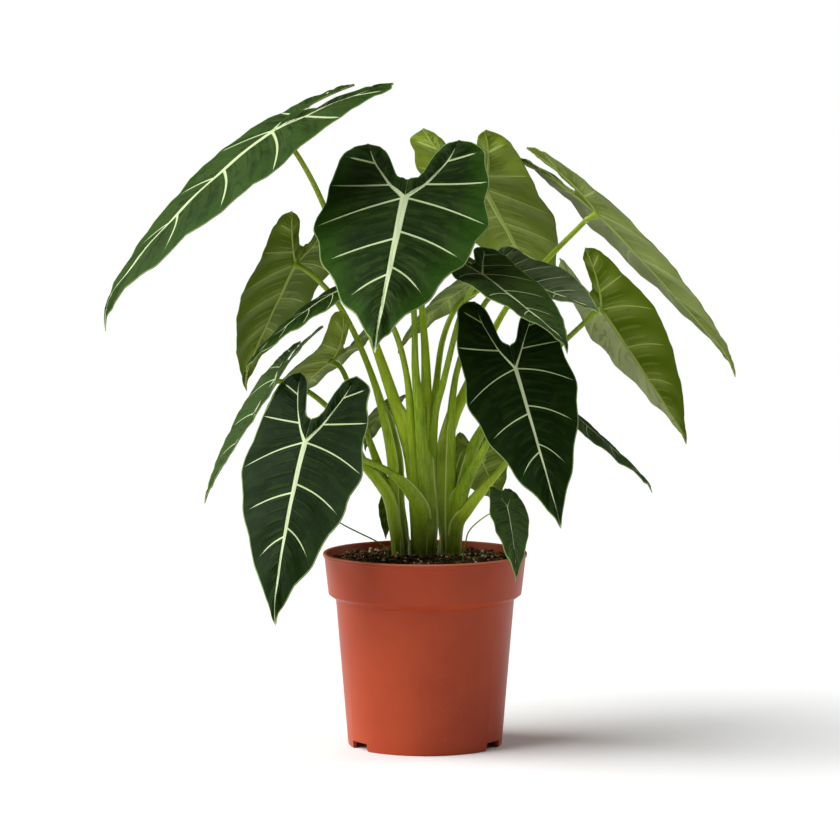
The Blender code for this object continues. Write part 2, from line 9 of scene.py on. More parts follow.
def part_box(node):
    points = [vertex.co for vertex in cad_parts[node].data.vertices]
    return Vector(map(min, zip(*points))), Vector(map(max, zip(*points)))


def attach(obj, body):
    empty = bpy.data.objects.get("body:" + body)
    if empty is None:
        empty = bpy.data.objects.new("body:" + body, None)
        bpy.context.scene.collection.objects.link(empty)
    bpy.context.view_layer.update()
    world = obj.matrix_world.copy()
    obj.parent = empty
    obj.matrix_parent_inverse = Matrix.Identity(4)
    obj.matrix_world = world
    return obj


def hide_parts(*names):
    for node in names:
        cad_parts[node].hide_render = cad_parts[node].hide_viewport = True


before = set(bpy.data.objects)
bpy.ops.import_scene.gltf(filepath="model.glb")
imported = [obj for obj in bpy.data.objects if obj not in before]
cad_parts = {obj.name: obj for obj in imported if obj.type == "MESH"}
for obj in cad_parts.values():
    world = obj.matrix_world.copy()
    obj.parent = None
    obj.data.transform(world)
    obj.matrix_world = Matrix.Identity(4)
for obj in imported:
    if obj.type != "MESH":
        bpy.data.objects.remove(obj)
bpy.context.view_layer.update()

# Nursery pot: thin polypropylene, injection moulded in one piece and coloured like terracotta.
# It has a rolled rim over a deep band, a chamfered step, a tapered wall and a notched foot ring.
POT_COLOUR = (168, 65, 30)
POT_DEEP_COLOUR = (158, 57, 25)
POT_DUST_COLOUR = (188, 104, 70)
# Painted highlight: a paler band along the top of the rolled rim, standing in for the glint on the lip.
POT_LIP_HIGHLIGHT = (205, 132, 104)
LIP_HIGHLIGHT_START = 0.0014
LIP_HIGHLIGHT_FULL = 0.0006
SAME_POINT = 0.000005
FLAT_WITHIN = math.radians(1.0)
MOULD_RADIUS = 0.00045
MOULD_EDGE_FROM = math.radians(28.0)


def srgb(colour):
    """Scene-linear RGBA of a colour given as 0 to 255."""
    levels = [c / 255 for c in colour]
    return (*[v / 12.92 if v <= 0.04045 else ((v + 0.055) / 1.055) ** 2.4 for v in levels], 1.0)


class Wire:
    """A value that varies over a surface; arithmetic on it gives another one."""

    def __init__(self, paint, socket):
        self.paint = paint
        self.socket = socket

    def math(self, operation, *others):
        inputs = {i: value for i, value in enumerate((self, *others))}
        return self.paint.node("ShaderNodeMath", {"operation": operation}, inputs)

    def __add__(self, other):
        return self.math("ADD", other)

    def __sub__(self, other):
        return self.math("SUBTRACT", other)

    def __mul__(self, other):
        return self.math("MULTIPLY", other)

    def __rsub__(self, other):
        return self.paint.node("ShaderNodeMath", {"operation": "SUBTRACT"}, {0: other, 1: self})

    __radd__ = __add__
    __rmul__ = __mul__

    def ramp(self, low, high):
        """0 below low, 1 above high, and smooth between; falls instead where low is above high."""
        if low > high:
            return 1 - self.ramp(high, low)
        inputs = {"Value": self, "From Min": low, "From Max": high}
        return self.paint.node("ShaderNodeMapRange", {"interpolation_type": "SMOOTHSTEP"}, inputs)


class Paint:
    """A surface's material, and the ways to build it up."""

    def __init__(self, name):
        self.material = bpy.data.materials.new(name)
        self.material.use_nodes = True
        self.tree = self.material.node_tree
        self.shader = self.tree.nodes["Principled BSDF"]

    def put(self, socket, value):
        if isinstance(value, Wire):
            self.tree.links.new(value.socket, socket)
        else:
            socket.default_value = value

    def node(self, kind, settings=None, inputs=None, output=0):
        made = self.tree.nodes.new(kind)
        for name, value in (settings or {}).items():
            setattr(made, name, value)
        for name, value in (inputs or {}).items():
            self.put(made.inputs[name], value)
        return Wire(self, made.outputs[output])

    def set(self, **inputs):
        for name, value in inputs.items():
            self.put(self.shader.inputs[name.replace("_", " ")], value)

    def mix(self, factor, first, second):
        """Colour between two colours."""
        return self.node("ShaderNodeMix", {"data_type": "RGBA"}, {0: factor, 6: first, 7: second}, 2)

    def place(self, scale=(1.0, 1.0, 1.0)):
        """Object coordinates in metres, stretched."""
        where = self.node("ShaderNodeTexCoord", output=3)
        return self.node("ShaderNodeMapping", None, {"Vector": where, "Scale": scale})

    def grain(self, scale, detail=3.0, rough=0.55, stretch=(1.0, 1.0, 1.0)):
        """Noise from 0 to 1 with so many cells to the metre."""
        inputs = {"Vector": self.place(stretch), "Scale": scale, "Detail": detail, "Roughness": rough}
        return self.node("ShaderNodeTexNoise", None, inputs)

    def number(self, attribute):
        """The one number of a point's attribute."""
        return self.node("ShaderNodeAttribute", {"attribute_name": attribute}, output=2)

    def parts(self, attribute):
        """The three numbers of a point's attribute."""
        vector = self.node("ShaderNodeAttribute", {"attribute_name": attribute}, output=1)
        return [self.node("ShaderNodeSeparateXYZ", None, {0: vector}, i) for i in range(3)]

    def bump(self, height, distance, strength=1.0):
        inputs = {"Height": height, "Distance": distance, "Strength": strength}
        self.set(Normal=self.node("ShaderNodeBump", None, inputs))


def add_piece(name, mesh, material):
    """Object of a mesh that rides on the part's one body."""
    piece = bpy.data.objects.new(name, mesh)
    mesh.materials.clear()
    mesh.materials.append(material)
    bpy.context.scene.collection.objects.link(piece)
    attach(piece, "root")
    return piece


plastic = Paint("terracotta_plastic")
cloud = plastic.grain(14.0, 4.0)
streaks = plastic.grain(9.0, 3.0, stretch=(1.0, 1.0, 0.15))
dust = plastic.grain(420.0, 2.0).ramp(0.60, 0.75) * plastic.grain(22.0).ramp(0.45, 0.7)
body = plastic.mix(cloud.ramp(0.35, 0.7), srgb(POT_COLOUR), srgb(POT_DEEP_COLOUR))
body = plastic.mix(dust * 0.35, body, srgb(POT_DUST_COLOUR))
rim_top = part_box("pot")[1][2]
height = plastic.node("ShaderNodeSeparateXYZ", None, {0: plastic.place()}, 2)
# Painted highlight: the plastic turns paler towards the rim's top edge.
lip_highlight = height.ramp(rim_top - LIP_HIGHLIGHT_START, rim_top - LIP_HIGHLIGHT_FULL)
plastic.set(Base_Color=plastic.mix(lip_highlight * 0.55, body, srgb(POT_LIP_HIGHLIGHT)),
            Roughness=0.36 + 0.12 * streaks + 0.15 * dust, IOR=1.49, Specular_IOR_Level=0.24)
plastic.bump(plastic.grain(900.0, 2.0) * 0.5 + streaks * 0.6, 0.0002, 0.35)

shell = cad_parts["pot"].data.copy()
bm = bmesh.new()
bm.from_mesh(shell)
bmesh.ops.remove_doubles(bm, verts=bm.verts, dist=SAME_POINT)
bmesh.ops.dissolve_limit(bm, angle_limit=FLAT_WITHIN, verts=bm.verts, edges=bm.edges)
bm.to_mesh(shell)
bm.free()
if "custom_normal" in shell.attributes:
    shell.attributes.remove(shell.attributes["custom_normal"])
pot = add_piece("nursery_pot", shell, plastic.material)
rounding = pot.modifiers.new("moulded_edges", "BEVEL")
rounding.width = MOULD_RADIUS
rounding.segments = 2
rounding.limit_method = "ANGLE"
rounding.angle_limit = MOULD_EDGE_FROM
rounding.harden_normals = True
shell.shade_smooth()
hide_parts("pot")

# Potting mix: dark peat and bark crumbs, with pale grains and coir fibres scattered over it.
# It is pressed into the pot by hand up to a low mound round the stems.
SOIL_EDGE = 0.153
SOIL_MOUND = 0.0045
SOIL_RELIEF = 0.0009
SOIL_RIM = 0.0839
SOIL_RADIUS = 0.0805
CRUMB_COUNT = 1500
BIG_CRUMB_COUNT = 300
BIG_CRUMB = (0.0014, 0.0032)
SMALL_CRUMB = (0.0005, 0.0015)
PALE_GRAIN_COUNT = 130
PALE_GRAIN = (0.0006, 0.0017)
FIBRE_COUNT = 280
FIBRE_LENGTH = (0.004, 0.014)
FIBRE_RISE = (0.0008, 0.0022)
FIBRE_ARCH = 0.0012
FIBRE_RADIUS = (0.00014, 0.0003)
FIBRE_BEND = 120.0
FIBRE_STEPS = 8
# Each shoot's foot in the soil: its centre and its radius, in millimetres.
SHOOT_BASES = {
    "left": ((-21.0, 11.0), 7.5),
    "middle": ((-1.5, 10.0), 10.8),
    "right": ((22.5, 12.0), 9.0),
    "small_right": ((30.0, -24.0), 2.6),
    "small_left": ((-29.0, -9.0), 2.6),
}
STEM_CLEARANCE = 1.5
SOIL_DARK = (34, 20, 10)
SOIL_BROWN = (90, 56, 28)
SOIL_PALE = (236, 224, 194)
SOIL_FIBRE = (176, 142, 94)


def soil_height(x, y):
    """Height of the mound's crumbly top, in metres."""
    radius = math.hypot(x, y)
    mound = SOIL_EDGE + SOIL_MOUND * (1 - (radius / SOIL_RIM) ** 2)
    waves = math.sin(310 * x + 1.3) * math.cos(270 * y) + 0.6 * math.sin(530 * y - 370 * x)
    return mound + SOIL_RELIEF * waves


def mesh_of(name, points, faces, tones=None, attributes=None):
    """Mesh of points in metres, with a number or a vector for each point under each attribute's name."""
    mesh = bpy.data.meshes.new(name)
    mesh.from_pydata([tuple(point) for point in points], [], faces)
    values = dict(attributes or {})
    if tones is not None:
        values["tone"] = np.asarray(tones, float)
    for key, value in values.items():
        kind, field = ("FLOAT", "value") if value.ndim == 1 else ("FLOAT_VECTOR", "vector")
        mesh.attributes.new(key, kind, "POINT").data.foreach_set(field, value.astype(np.float32).ravel())
    mesh.validate()
    mesh.shade_smooth()
    return mesh


class Heap:
    """Many lumps, fibres or stalks gathered into one mesh."""

    def __init__(self):
        self.points = []
        self.faces = []
        self.tones = []

    def add(self, points, faces, tone):
        start = len(self.points)
        self.points.extend(points)
        self.faces.extend([tuple(start + i for i in face) for face in faces])
        self.tones.extend([tone] * len(points))


def lump_shapes(level):
    """Points and faces of a unit ball."""
    bm = bmesh.new()
    bmesh.ops.create_icosphere(bm, subdivisions=level, radius=1.0)
    bm.verts.ensure_lookup_table()
    points = np.array([vertex.co for vertex in bm.verts])
    faces = [[vertex.index for vertex in face.verts] for face in bm.faces]
    bm.free()
    return points, faces


def soil_spot(draw, edge=SOIL_RADIUS):
    """Random place on the soil, clear of the stems."""
    while True:
        radius = edge * math.sqrt(draw.random())
        angle = draw.uniform(0, 2 * math.pi)
        x, y = radius * math.cos(angle), radius * math.sin(angle)
        if all(math.hypot(x - foot_x / 1000, y - foot_y / 1000) > (foot_radius + STEM_CLEARANCE) / 1000
               for (foot_x, foot_y), foot_radius in SHOOT_BASES.values()):
            return x, y


draw = np.random.default_rng(11)
ball, ball_faces = lump_shapes(2)
small_ball, small_faces = lump_shapes(1)
heap = Heap()
for number in range(CRUMB_COUNT):
    x, y = soil_spot(draw)
    big = number < BIG_CRUMB_COUNT
    size = draw.uniform(*(BIG_CRUMB if big else SMALL_CRUMB))
    shape, shape_faces = (ball, ball_faces) if big else (small_ball, small_faces)
    shift = draw.uniform(-9, 9, 3)
    swell = np.array([1 + 0.38 * noise.noise(Vector(point * 1.4 + shift)) for point in shape])
    squash = draw.uniform(0.55, 1.0, 3)
    turn = draw.uniform(0, 2 * math.pi)
    lump = shape * swell[:, None] * squash * size
    cos, sin = math.cos(turn), math.sin(turn)
    lump = lump @ np.array(((cos, sin, 0), (-sin, cos, 0), (0, 0, 1)))
    reach = SOIL_RADIUS - 0.0004 - math.hypot(x, y)
    inward = min(0.0, reach - size) / max(math.hypot(x, y), 1e-6)
    lump += (x * (1 + inward), y * (1 + inward), soil_height(x, y) + size * draw.uniform(0.0, 0.45))
    heap.add(lump, shape_faces, draw.random())

crumb = Paint("potting_mix")
tone = crumb.number("tone")
speck = crumb.grain(1500.0, 4.0)
earth = crumb.mix(tone.ramp(0.25, 1.0) * 0.7 + speck * 0.3, srgb(SOIL_DARK), srgb(SOIL_BROWN))
crumb.set(Base_Color=earth, Roughness=0.82 + 0.15 * speck, Specular_IOR_Level=0.15)
crumb.bump(speck + crumb.grain(420.0, 3.0), 0.0006, 0.8)
add_piece("soil_crumbs", mesh_of("soil_crumbs", heap.points, heap.faces, heap.tones), crumb.material)

bed = Paint("potting_mix_bed")
speck = bed.grain(900.0, 5.0, 0.7)
bed.set(Base_Color=bed.mix(speck.ramp(0.35, 0.75), srgb(SOIL_DARK), srgb(SOIL_BROWN)), Roughness=0.95,
        Specular_IOR_Level=0.15)
bed.bump(speck + bed.grain(260.0, 3.0), 0.0015, 1.0)
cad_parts["soil"].data.materials[0] = bed.material

heap = Heap()
for number in range(PALE_GRAIN_COUNT):
    x, y = soil_spot(draw, SOIL_RADIUS - 0.002)
    size = draw.uniform(*PALE_GRAIN)
    shift = draw.uniform(-9, 9, 3)
    swell = np.array([1 + 0.5 * noise.noise(Vector(point * 2.0 + shift)) for point in ball])
    lump = ball * swell[:, None] * draw.uniform(0.6, 1.1, 3) * size
    heap.add(lump + (x, y, soil_height(x, y) + size * 0.8 + 0.0006), ball_faces, draw.random())
grit = Paint("pale_grains")
tone = grit.number("tone")
grit.set(Base_Color=grit.mix(tone, srgb(SOIL_PALE), srgb(SOIL_FIBRE)), Roughness=0.9)
grit.bump(grit.grain(2500.0, 3.0), 0.0003, 0.8)
add_piece("pale_grains", mesh_of("pale_grains", heap.points, heap.faces, heap.tones), grit.material)


def tube(path, radii, sides, outward=None, section=None):
    """Points and faces of a closed tube; the section gives each angle's share of the radius."""
    path = np.asarray(path, float)
    ahead = np.gradient(path, axis=0)
    ahead /= np.linalg.norm(ahead, axis=1)[:, None]
    normal = np.array(outward if outward is not None else (0.3, 1.0, 0.2), float)
    angles = np.linspace(0, 2 * math.pi, sides, endpoint=False)
    rings = []
    for number, point in enumerate(path):
        normal -= ahead[number] * normal.dot(ahead[number])
        normal /= np.linalg.norm(normal)
        across = np.cross(ahead[number], normal)
        share = np.ones(sides) if section is None else section(angles, number / (len(path) - 1))
        ring = radii[number] * share
        out = np.outer(ring * np.cos(angles), normal) + np.outer(ring * np.sin(angles), across)
        rings.append(point + out)
    count = len(path)
    points = np.vstack(rings + [path[:1], path[-1:]])
    faces = []
    for i in range(count - 1):
        for j in range(sides):
            k = (j + 1) % sides
            faces.append((i * sides + j, i * sides + k, (i + 1) * sides + k, (i + 1) * sides + j))
    for j in range(sides):
        k = (j + 1) % sides
        faces.append((count * sides, k, j))
        faces.append((count * sides + 1, (count - 1) * sides + j, (count - 1) * sides + k))
    return points, faces


heap = Heap()
for number in range(FIBRE_COUNT):
    x, y = soil_spot(draw, SOIL_RADIUS - 0.004)
    heading = draw.uniform(0, 2 * math.pi)
    length = draw.uniform(*FIBRE_LENGTH)
    bend = draw.uniform(-FIBRE_BEND, FIBRE_BEND)
    rise = draw.uniform(*FIBRE_RISE)
    path = []
    for step in range(FIBRE_STEPS + 1):
        share = step / FIBRE_STEPS
        radius = math.hypot(x, y)
        if radius > SOIL_RADIUS - 0.002:
            x, y = x * (SOIL_RADIUS - 0.002) / radius, y * (SOIL_RADIUS - 0.002) / radius
        path.append((x, y, soil_height(x, y) + rise + FIBRE_ARCH * math.sin(math.pi * share)))
        x += length / FIBRE_STEPS * math.cos(heading)
        y += length / FIBRE_STEPS * math.sin(heading)
        heading += math.radians(bend) / FIBRE_STEPS
    thick = draw.uniform(*FIBRE_RADIUS)
    fibre, fibre_faces = tube(path, np.linspace(thick, thick / 2, FIBRE_STEPS + 1), 5)
    heap.add(fibre, fibre_faces, draw.random())
coir = Paint("coir_fibre")
tone = coir.number("tone")
coir.set(Base_Color=coir.mix(tone, srgb(SOIL_FIBRE), srgb(SOIL_BROWN)), Roughness=0.85)
add_piece("soil_fibres", mesh_of("soil_fibres", heap.points, heap.faces, heap.tones), coir.material)

# Shoots: fleshy leaf stalks that rise from buried corms, each stalk's base a sheath round the next.
# Lengths here are in millimetres and angles in degrees; each row is one leaf, its blade and its stalk.
MM = 0.001
STALK_FOOT = 140.0
STALK_COLLAR = 160.0
STALK_STEP = 3.5
STALK_SIDES = 40
STALK_TIP_RADIUS = 2.1
STALK_BARE = 0.58
STALK_MARGIN = 0.4
BLADE_ROOT_GAP = 0.55
NECK_LOW = 9.0
NECK_HIGH = 3.0
NECK_BACK = 2.5
NECK_FLARE = 0.9
NECK_FLARE_LENGTH = 0.015
ROOT_BEND = 0.025
SHEATH_TOP = 0.64
SHEATH_FULL = 0.3
SHEATH_ENDS = (0.34, 0.56)
SHEATH_EDGE = math.radians(136.0)
SHEATH_EDGE_WIDTH = 0.15
SHEATH_EDGE_RISE = 0.5
SHEATH_EDGE_SPREAD = 0.25
GROOVE_WIDTH = 0.45
GROOVE_BARE = 0.06
GROOVE_SHEATHED = 0.3
CROWN_STEP = 4
CROWN_SHARES = (0.9, 0.95, 0.97, 0.97, 0.95, 0.88, 0.5)
CROWN_TONE = 0.3
# Each spike's foot, the way it leans, its height and its radius.
SPIKES = {
    "left": ((-12.6, 2.5, 150), (-0.6, -1.5, 0), 24, 1.5),
    "middle": ((11.2, -1.0, 150), (1.6, -1.0, 0), 26, 1.7),
}
SPIKE_STEPS = 8
SPIKE_TONE = 2.0
FOOT_SHADE_FROM = 0.155
FOOT_SHADE_HEIGHT = 0.12
STALK_GREEN = (124, 156, 0)
STALK_LIME = (176, 200, 30)
STALK_STREAK = (198, 220, 72)
STALK_TOP = (150, 172, 52)
STALK_PATCH = (88, 118, 4)
# Painted shade: the darker green that the stalks are painted towards their feet, low among the others.
STALK_FOOT_SHADE = (84, 106, 2)
SHEATH_PALE = (208, 224, 128)
SPIKE_PALE = (186, 198, 140)


class Leaf:
    """One leaf: where its blade hangs, how the blade is bent, and the way of its stalk."""

    def __init__(self, shoot, junction, tip, route, roll=0.0, width=0.36, lobe=0.43, arch=30.0,
                 fold=-5.0, curl=20.0, lobe_bend=10.0, lobe_turn=0.0, lobe_skew=0.0, lobe_width=1.0,
                 wave=0.012, notch=1.0, base=6.0):
        self.shoot = shoot
        self.junction = np.array(junction, float)
        self.tip = np.array(tip, float)
        self.route = [np.array(point, float) for point in route]
        self.roll = roll
        self.width = width
        self.lobe = lobe
        self.arch = arch
        self.fold = fold
        self.curl = curl
        self.lobe_bend = lobe_bend
        self.lobe_turn = lobe_turn
        self.lobe_skew = lobe_skew
        self.lobe_width = lobe_width
        self.wave = wave
        self.notch = notch
        self.base = base
        chord = self.tip - self.junction
        self.length = np.linalg.norm(chord)
        self.forward = chord / self.length
        up = np.array((0, 0, 1.0)) - self.forward * self.forward[2]
        up /= np.linalg.norm(up)
        turn = math.radians(roll)
        self.face = up * math.cos(turn) + np.cross(up, self.forward) * math.sin(turn)
        self.side = np.cross(self.face, self.forward)


LEAVES = {
    "leaf_front_top": Leaf(
        "middle", (-17, -5, 456), (-40, -156, 339),
        [(2, 4, 191), (-1, 0, 228), (-4, -4, 272), (-8, -6, 314), (-9, -8, 359), (-14, -7, 420)],
        roll=-1, width=0.37, lobe=0.39, arch=3, fold=-11, curl=15, lobe_bend=-11, lobe_turn=-3,
        lobe_width=1.17),
    "leaf_far_left": Leaf(
        "middle", (-127, 18, 510), (-263, -26, 347),
        [(-7, 10, 190), (-11, 12, 233), (-18, 12, 263), (-28, 12, 294), (-40, 13, 329), (-62, 16, 391),
         (-86, 18, 453), (-105, 18, 489)],
        roll=10, width=0.25, lobe=0.45, arch=23, fold=-11, curl=36, lobe_bend=16, lobe_turn=-1,
        lobe_skew=0.2, lobe_width=0.76, wave=0.005),
    "leaf_upper_left": Leaf(
        "left", (-108, 42, 399), (-153, 118, 285),
        [(-25, 11, 200), (-27, 12, 241), (-39, 16, 291), (-55, 24, 333), (-72, 31, 365), (-88, 37, 384)],
        roll=13, width=0.32, lobe=0.4, arch=3, fold=0, curl=36, lobe_bend=-17, lobe_turn=-3,
        lobe_width=1.21),
    "leaf_left_folded": Leaf(
        "middle", (-76, -25, 378), (-147, -35, 314),
        [(-6, 6, 200), (-11, 5, 265), (-15, 1, 307), (-24, -4, 343), (-37, -10, 362), (-60, -21, 374)],
        roll=6, width=0.3, lobe=0.43, arch=20, fold=-8),
    "leaf_left_back": Leaf(
        "left", (-78, 48, 317), (-141, 89, 247),
        [(-24, 13, 186), (-35, 18, 219), (-48, 25, 256), (-65, 40, 300)],
        roll=-2, width=0.32, lobe=0.5, arch=17, fold=9, curl=14, lobe_bend=-20, lobe_turn=15,
        lobe_skew=0.22, lobe_width=1.24),
    "leaf_left_low_narrow": Leaf(
        "left", (-125, 26, 303), (-183, -8, 202),
        [(-25, 8, 183), (-30, 8, 206), (-40, 9, 221), (-50, 11, 233), (-66, 15, 264), (-93, 22, 290)],
        roll=-17, width=0.37, lobe=0.41, arch=3, fold=9, curl=12, lobe_bend=16, lobe_skew=0.19,
        lobe_width=0.8, wave=0.006),
    "leaf_front_left": Leaf(
        "middle", (-98, -64, 259), (-121, -107, 114),
        [(-4, 4, 180), (-5, -5, 199), (-18, -20, 220), (-32, -32, 233), (-49, -42, 242), (-74, -53, 254)],
        roll=2, width=0.35, lobe=0.42, arch=18, fold=-12, curl=20, lobe_bend=2, lobe_turn=4,
        lobe_skew=0.02, lobe_width=1.03),
    "leaf_small_behind_left": Leaf(
        "left", (-33, 38, 278), (-50, 50, 240),
        [(-24, 14, 190), (-27, 18, 219), (-29, 26, 252)],
        width=0.4),
    "leaf_big_back": Leaf(
        "middle", (50, 82, 460), (104, 157, 354),
        [(0, 8, 220), (1, 9, 291), (0, 12, 330), (-3, 20, 372), (-1, 39, 408), (20, 63, 437)],
        roll=-6, width=0.46, lobe=0.44, arch=3, fold=-5, curl=12, lobe_bend=-23, lobe_turn=17,
        lobe_skew=0.07, lobe_width=1.3),
    "leaf_far_right": Leaf(
        "right", (143, 18, 442), (262, 61, 302),
        [(16, 12, 197), (16, 14, 241), (23, 16, 270), (32, 22, 290), (65, 48, 356), (98, 61, 396),
         (131, 36, 432)],
        roll=-5, width=0.44, lobe=0.43, arch=3, fold=2, curl=22, lobe_bend=12, lobe_turn=11,
        lobe_skew=-0.03, lobe_width=1.09, wave=0.006),
    "leaf_right_dark_front": Leaf(
        "middle", (47, -34, 394), (114, -114, 335),
        [(4, 8, 215), (7, 7, 271), (15, 3, 302), (26, -1, 347), (35, -5, 374)],
        roll=5, width=0.37, lobe=0.44, arch=3, fold=8, curl=36, lobe_bend=-12, lobe_turn=10,
        lobe_skew=-0.14, lobe_width=1.3),
    "leaf_right_dark_back": Leaf(
        "right", (69, 30, 388), (144, -46, 362),
        [(20, 10, 215), (25, 11, 304), (48, 20, 364)],
        roll=-9, lobe=0.38, arch=3, fold=14, curl=12, lobe_bend=-30, lobe_turn=15, lobe_width=1.1),
    "leaf_middle_back": Leaf(
        "middle", (40, 90, 380), (-23, 96, 319),
        [(3, 14, 240), (9, 24, 295), (15, 46, 335), (28, 72, 362)],
        roll=-18, lobe=0.36, arch=20),
    "leaf_right_back": Leaf(
        "right", (148, 54, 359), (221, 62, 245),
        [(25, 14, 183), (33, 16, 226), (47, 20, 260), (79, 43, 297), (120, 47, 336), (136, 49, 351)],
        roll=33, width=0.34, lobe=0.4, arch=3, fold=22, curl=12, lobe_bend=-13, lobe_turn=7,
        lobe_skew=0.06, lobe_width=0.89),
    "leaf_front_right": Leaf(
        "right", (74, -49, 318), (110, -91, 191),
        [(26, 8, 183), (33, 0, 216), (52, -18, 255), (66, -34, 287)],
        roll=-31, width=0.33, lobe=0.47, arch=3, fold=-7, curl=12, lobe_bend=27, lobe_turn=15,
        lobe_skew=-0.06, lobe_width=1.12),
    "leaf_right_low_narrow": Leaf(
        "right", (111, 4, 286), (188, -14, 212),
        [(27, 9, 183), (33, 4, 194), (46, 1, 211), (66, 0, 234), (90, 2, 263)],
        roll=3, width=0.34, arch=5, fold=-8),
    "leaf_small_over_rim": Leaf(
        "small_right", (67, -62, 206), (73, -103, 150),
        [(33, -26, 170), (37, -36, 184), (51, -52, 198)],
        roll=14, width=0.24, lobe=0.38, arch=17, fold=2, lobe_bend=31, lobe_width=0.82, notch=0.3,
        base=0.6),
    "leaf_small_right_back": Leaf(
        "right", (46, 41, 238), (65, 77, 192),
        [(26, 18, 195), (32, 23, 214), (40, 31, 229)],
        roll=46, width=0.43, lobe=0.5, arch=14, fold=3, curl=12, lobe_bend=-10, lobe_skew=0.13,
        lobe_width=0.7),
    "leaf_small_by_stems": Leaf(
        "left", (-29, 35, 202), (-33, 45, 166),
        [(-24, 17, 180), (-26, 26, 198)],
        width=0.26, arch=12, base=2.0),
    "leaf_small_behind_front": Leaf(
        "small_left", (-91, -20, 203), (-111, -45, 156),
        [(-32, -8, 165), (-41, -6, 171), (-70, -16, 187)],
        width=0.33, arch=15, base=0.6),
}


def smooth_curve(points, parameter):
    """Points of a smooth curve that passes the point with index i at parameter i."""
    points = np.asarray(points, float)
    points = np.vstack([2 * points[0] - points[1], points, 2 * points[-1] - points[-2]])
    parameter = np.asarray(parameter, float)
    index = np.clip(parameter.astype(int), 0, len(points) - 4)
    t = (parameter - index)[..., None]
    a, b, c, d = (points[index + i] for i in range(4))
    square = 2 * a - 5 * b + 4 * c - d
    cube = 3 * b - a - 3 * c + d
    return 0.5 * (2 * b + (c - a) * t + square * t ** 2 + cube * t ** 3)


def stalk_path(leaf):
    """Points of a stalk from its foot in the soil to just under its blade."""
    (x, y), radius = SHOOT_BASES[leaf.shoot]
    offset = leaf.route[0][:2] - (x, y)
    spread = max(radius - leaf.base - STALK_MARGIN, 0.0)
    if np.linalg.norm(offset) > spread:
        offset *= spread / np.linalg.norm(offset)
    foot = np.array((x + offset[0], y + offset[1], 0.0))
    bend = math.radians(leaf.arch * ROOT_BEND)
    ahead = leaf.forward * math.cos(bend) - leaf.face * math.sin(bend)
    normal = leaf.face - ahead * leaf.face.dot(ahead)
    normal /= np.linalg.norm(normal)
    end = leaf.junction - normal * BLADE_ROOT_GAP
    points = [foot + (0, 0, STALK_FOOT), foot + (0, 0, STALK_COLLAR), *leaf.route,
              end - normal * NECK_LOW - ahead * NECK_BACK, end - normal * NECK_HIGH, end]
    lengths = [np.linalg.norm(b - a) for a, b in zip(points, points[1:])]
    parameters = []
    for number, length in enumerate(lengths):
        count = max(2, round(length / STALK_STEP))
        parameters += [number + i / count for i in range(count)]
    return smooth_curve(points, parameters + [len(lengths)])


def stalk_radii(leaf, share):
    """Radius at each share of a stalk: an even taper, with a swelling sheath below and a flare on top."""
    tip = min(STALK_TIP_RADIUS, leaf.base)
    foot = max(STALK_BARE * leaf.base, tip)
    sheath = np.clip((SHEATH_TOP - share) / (SHEATH_TOP - SHEATH_FULL), 0, 1)
    sheath = sheath ** 2 * (3 - 2 * sheath)
    flare = NECK_FLARE * np.clip((share - 1) / NECK_FLARE_LENGTH + 1, 0, 1) * tip
    return foot + (tip - foot) * share + (leaf.base - foot) * sheath + flare


def build_stalk(leaf, heap, tone, sheath_end):
    """Round stalk with a groove; below, its sheath's two thin edges stand on the inner side.

    Gives each point's share of the length and how far it stands on an edge.
    """
    path = stalk_path(leaf)
    run = np.concatenate([[0], np.cumsum(np.linalg.norm(np.diff(path, axis=0), axis=1))])
    share = run / run[-1]
    outward = np.append((path[-1] - path[0])[:2], 0.0)
    stout = min(1.0, max(0.0, (leaf.base - 2) / 2))
    edges = []

    def section(angles, along):
        fade = stout * min(1.0, max(0.0, (sheath_end - along) / 0.03))
        turned = np.minimum(angles, 2 * math.pi - angles)
        edge = fade * np.exp(-(((turned - SHEATH_EDGE) / SHEATH_EDGE_WIDTH) ** 2))
        groove = np.exp(-(((turned - math.pi) / GROOVE_WIDTH) ** 2))
        edges.append(edge)
        rise = SHEATH_EDGE_RISE + SHEATH_EDGE_SPREAD * along / sheath_end
        return 1 + rise * edge - (GROOVE_BARE + GROOVE_SHEATHED * fade) * groove

    points, faces = tube(path, stalk_radii(leaf, share), STALK_SIDES, outward, section)
    heap.add(points * MM, faces, tone)
    reach = np.concatenate([np.repeat(share, STALK_SIDES), [0.0, 1.0]])
    return np.stack([reach, np.concatenate([*edges, [0.0, 0.0]])], 1)


def build_spike(heap, foot, lean, height, radius):
    """Papery young sheath that stands between the stalks and tapers to a point."""
    share = np.linspace(0, 1, SPIKE_STEPS + 1)
    path = np.array(foot) + np.outer(share ** 1.5, lean) + np.outer(share, (0, 0, height))
    points, faces = tube(path, radius * (1 - share ** 2.2) + 0.15, 12, (0, -1, 0))
    heap.add(points * MM, faces, SPIKE_TONE)
    return np.tile((0.6, 1.0), (len(points), 1))


stalk = Paint("stalk_green")
tone = stalk.number("tone")
reach, foot_shade, edge = stalk.parts("stalk_map")
fine = stalk.grain(60.0, 3.0, stretch=(14.0, 14.0, 1.0))
patch = stalk.grain(45.0, 3.0)
green = stalk.mix(tone.ramp(0.0, 1.0), srgb(STALK_GREEN), srgb(STALK_LIME))
green = stalk.mix(fine.ramp(0.35, 0.65) * 0.4, green, srgb(STALK_STREAK))
green = stalk.mix(reach.ramp(0.55, 1.0) * 0.6, green, srgb(STALK_TOP))
green = stalk.mix(patch.ramp(0.45, 0.75) * 0.45, green, srgb(STALK_PATCH))
# Painted shade: darker green low on the stalks, fading out upwards from the soil.
green = stalk.mix(foot_shade.ramp(0.45, 0.0) * 0.6, green, srgb(STALK_FOOT_SHADE))
green = stalk.mix(edge.ramp(0.4, 0.85) * 0.8, green, srgb(SHEATH_PALE))
green = stalk.mix(tone.ramp(1.2, 1.8), green, srgb(SPIKE_PALE))
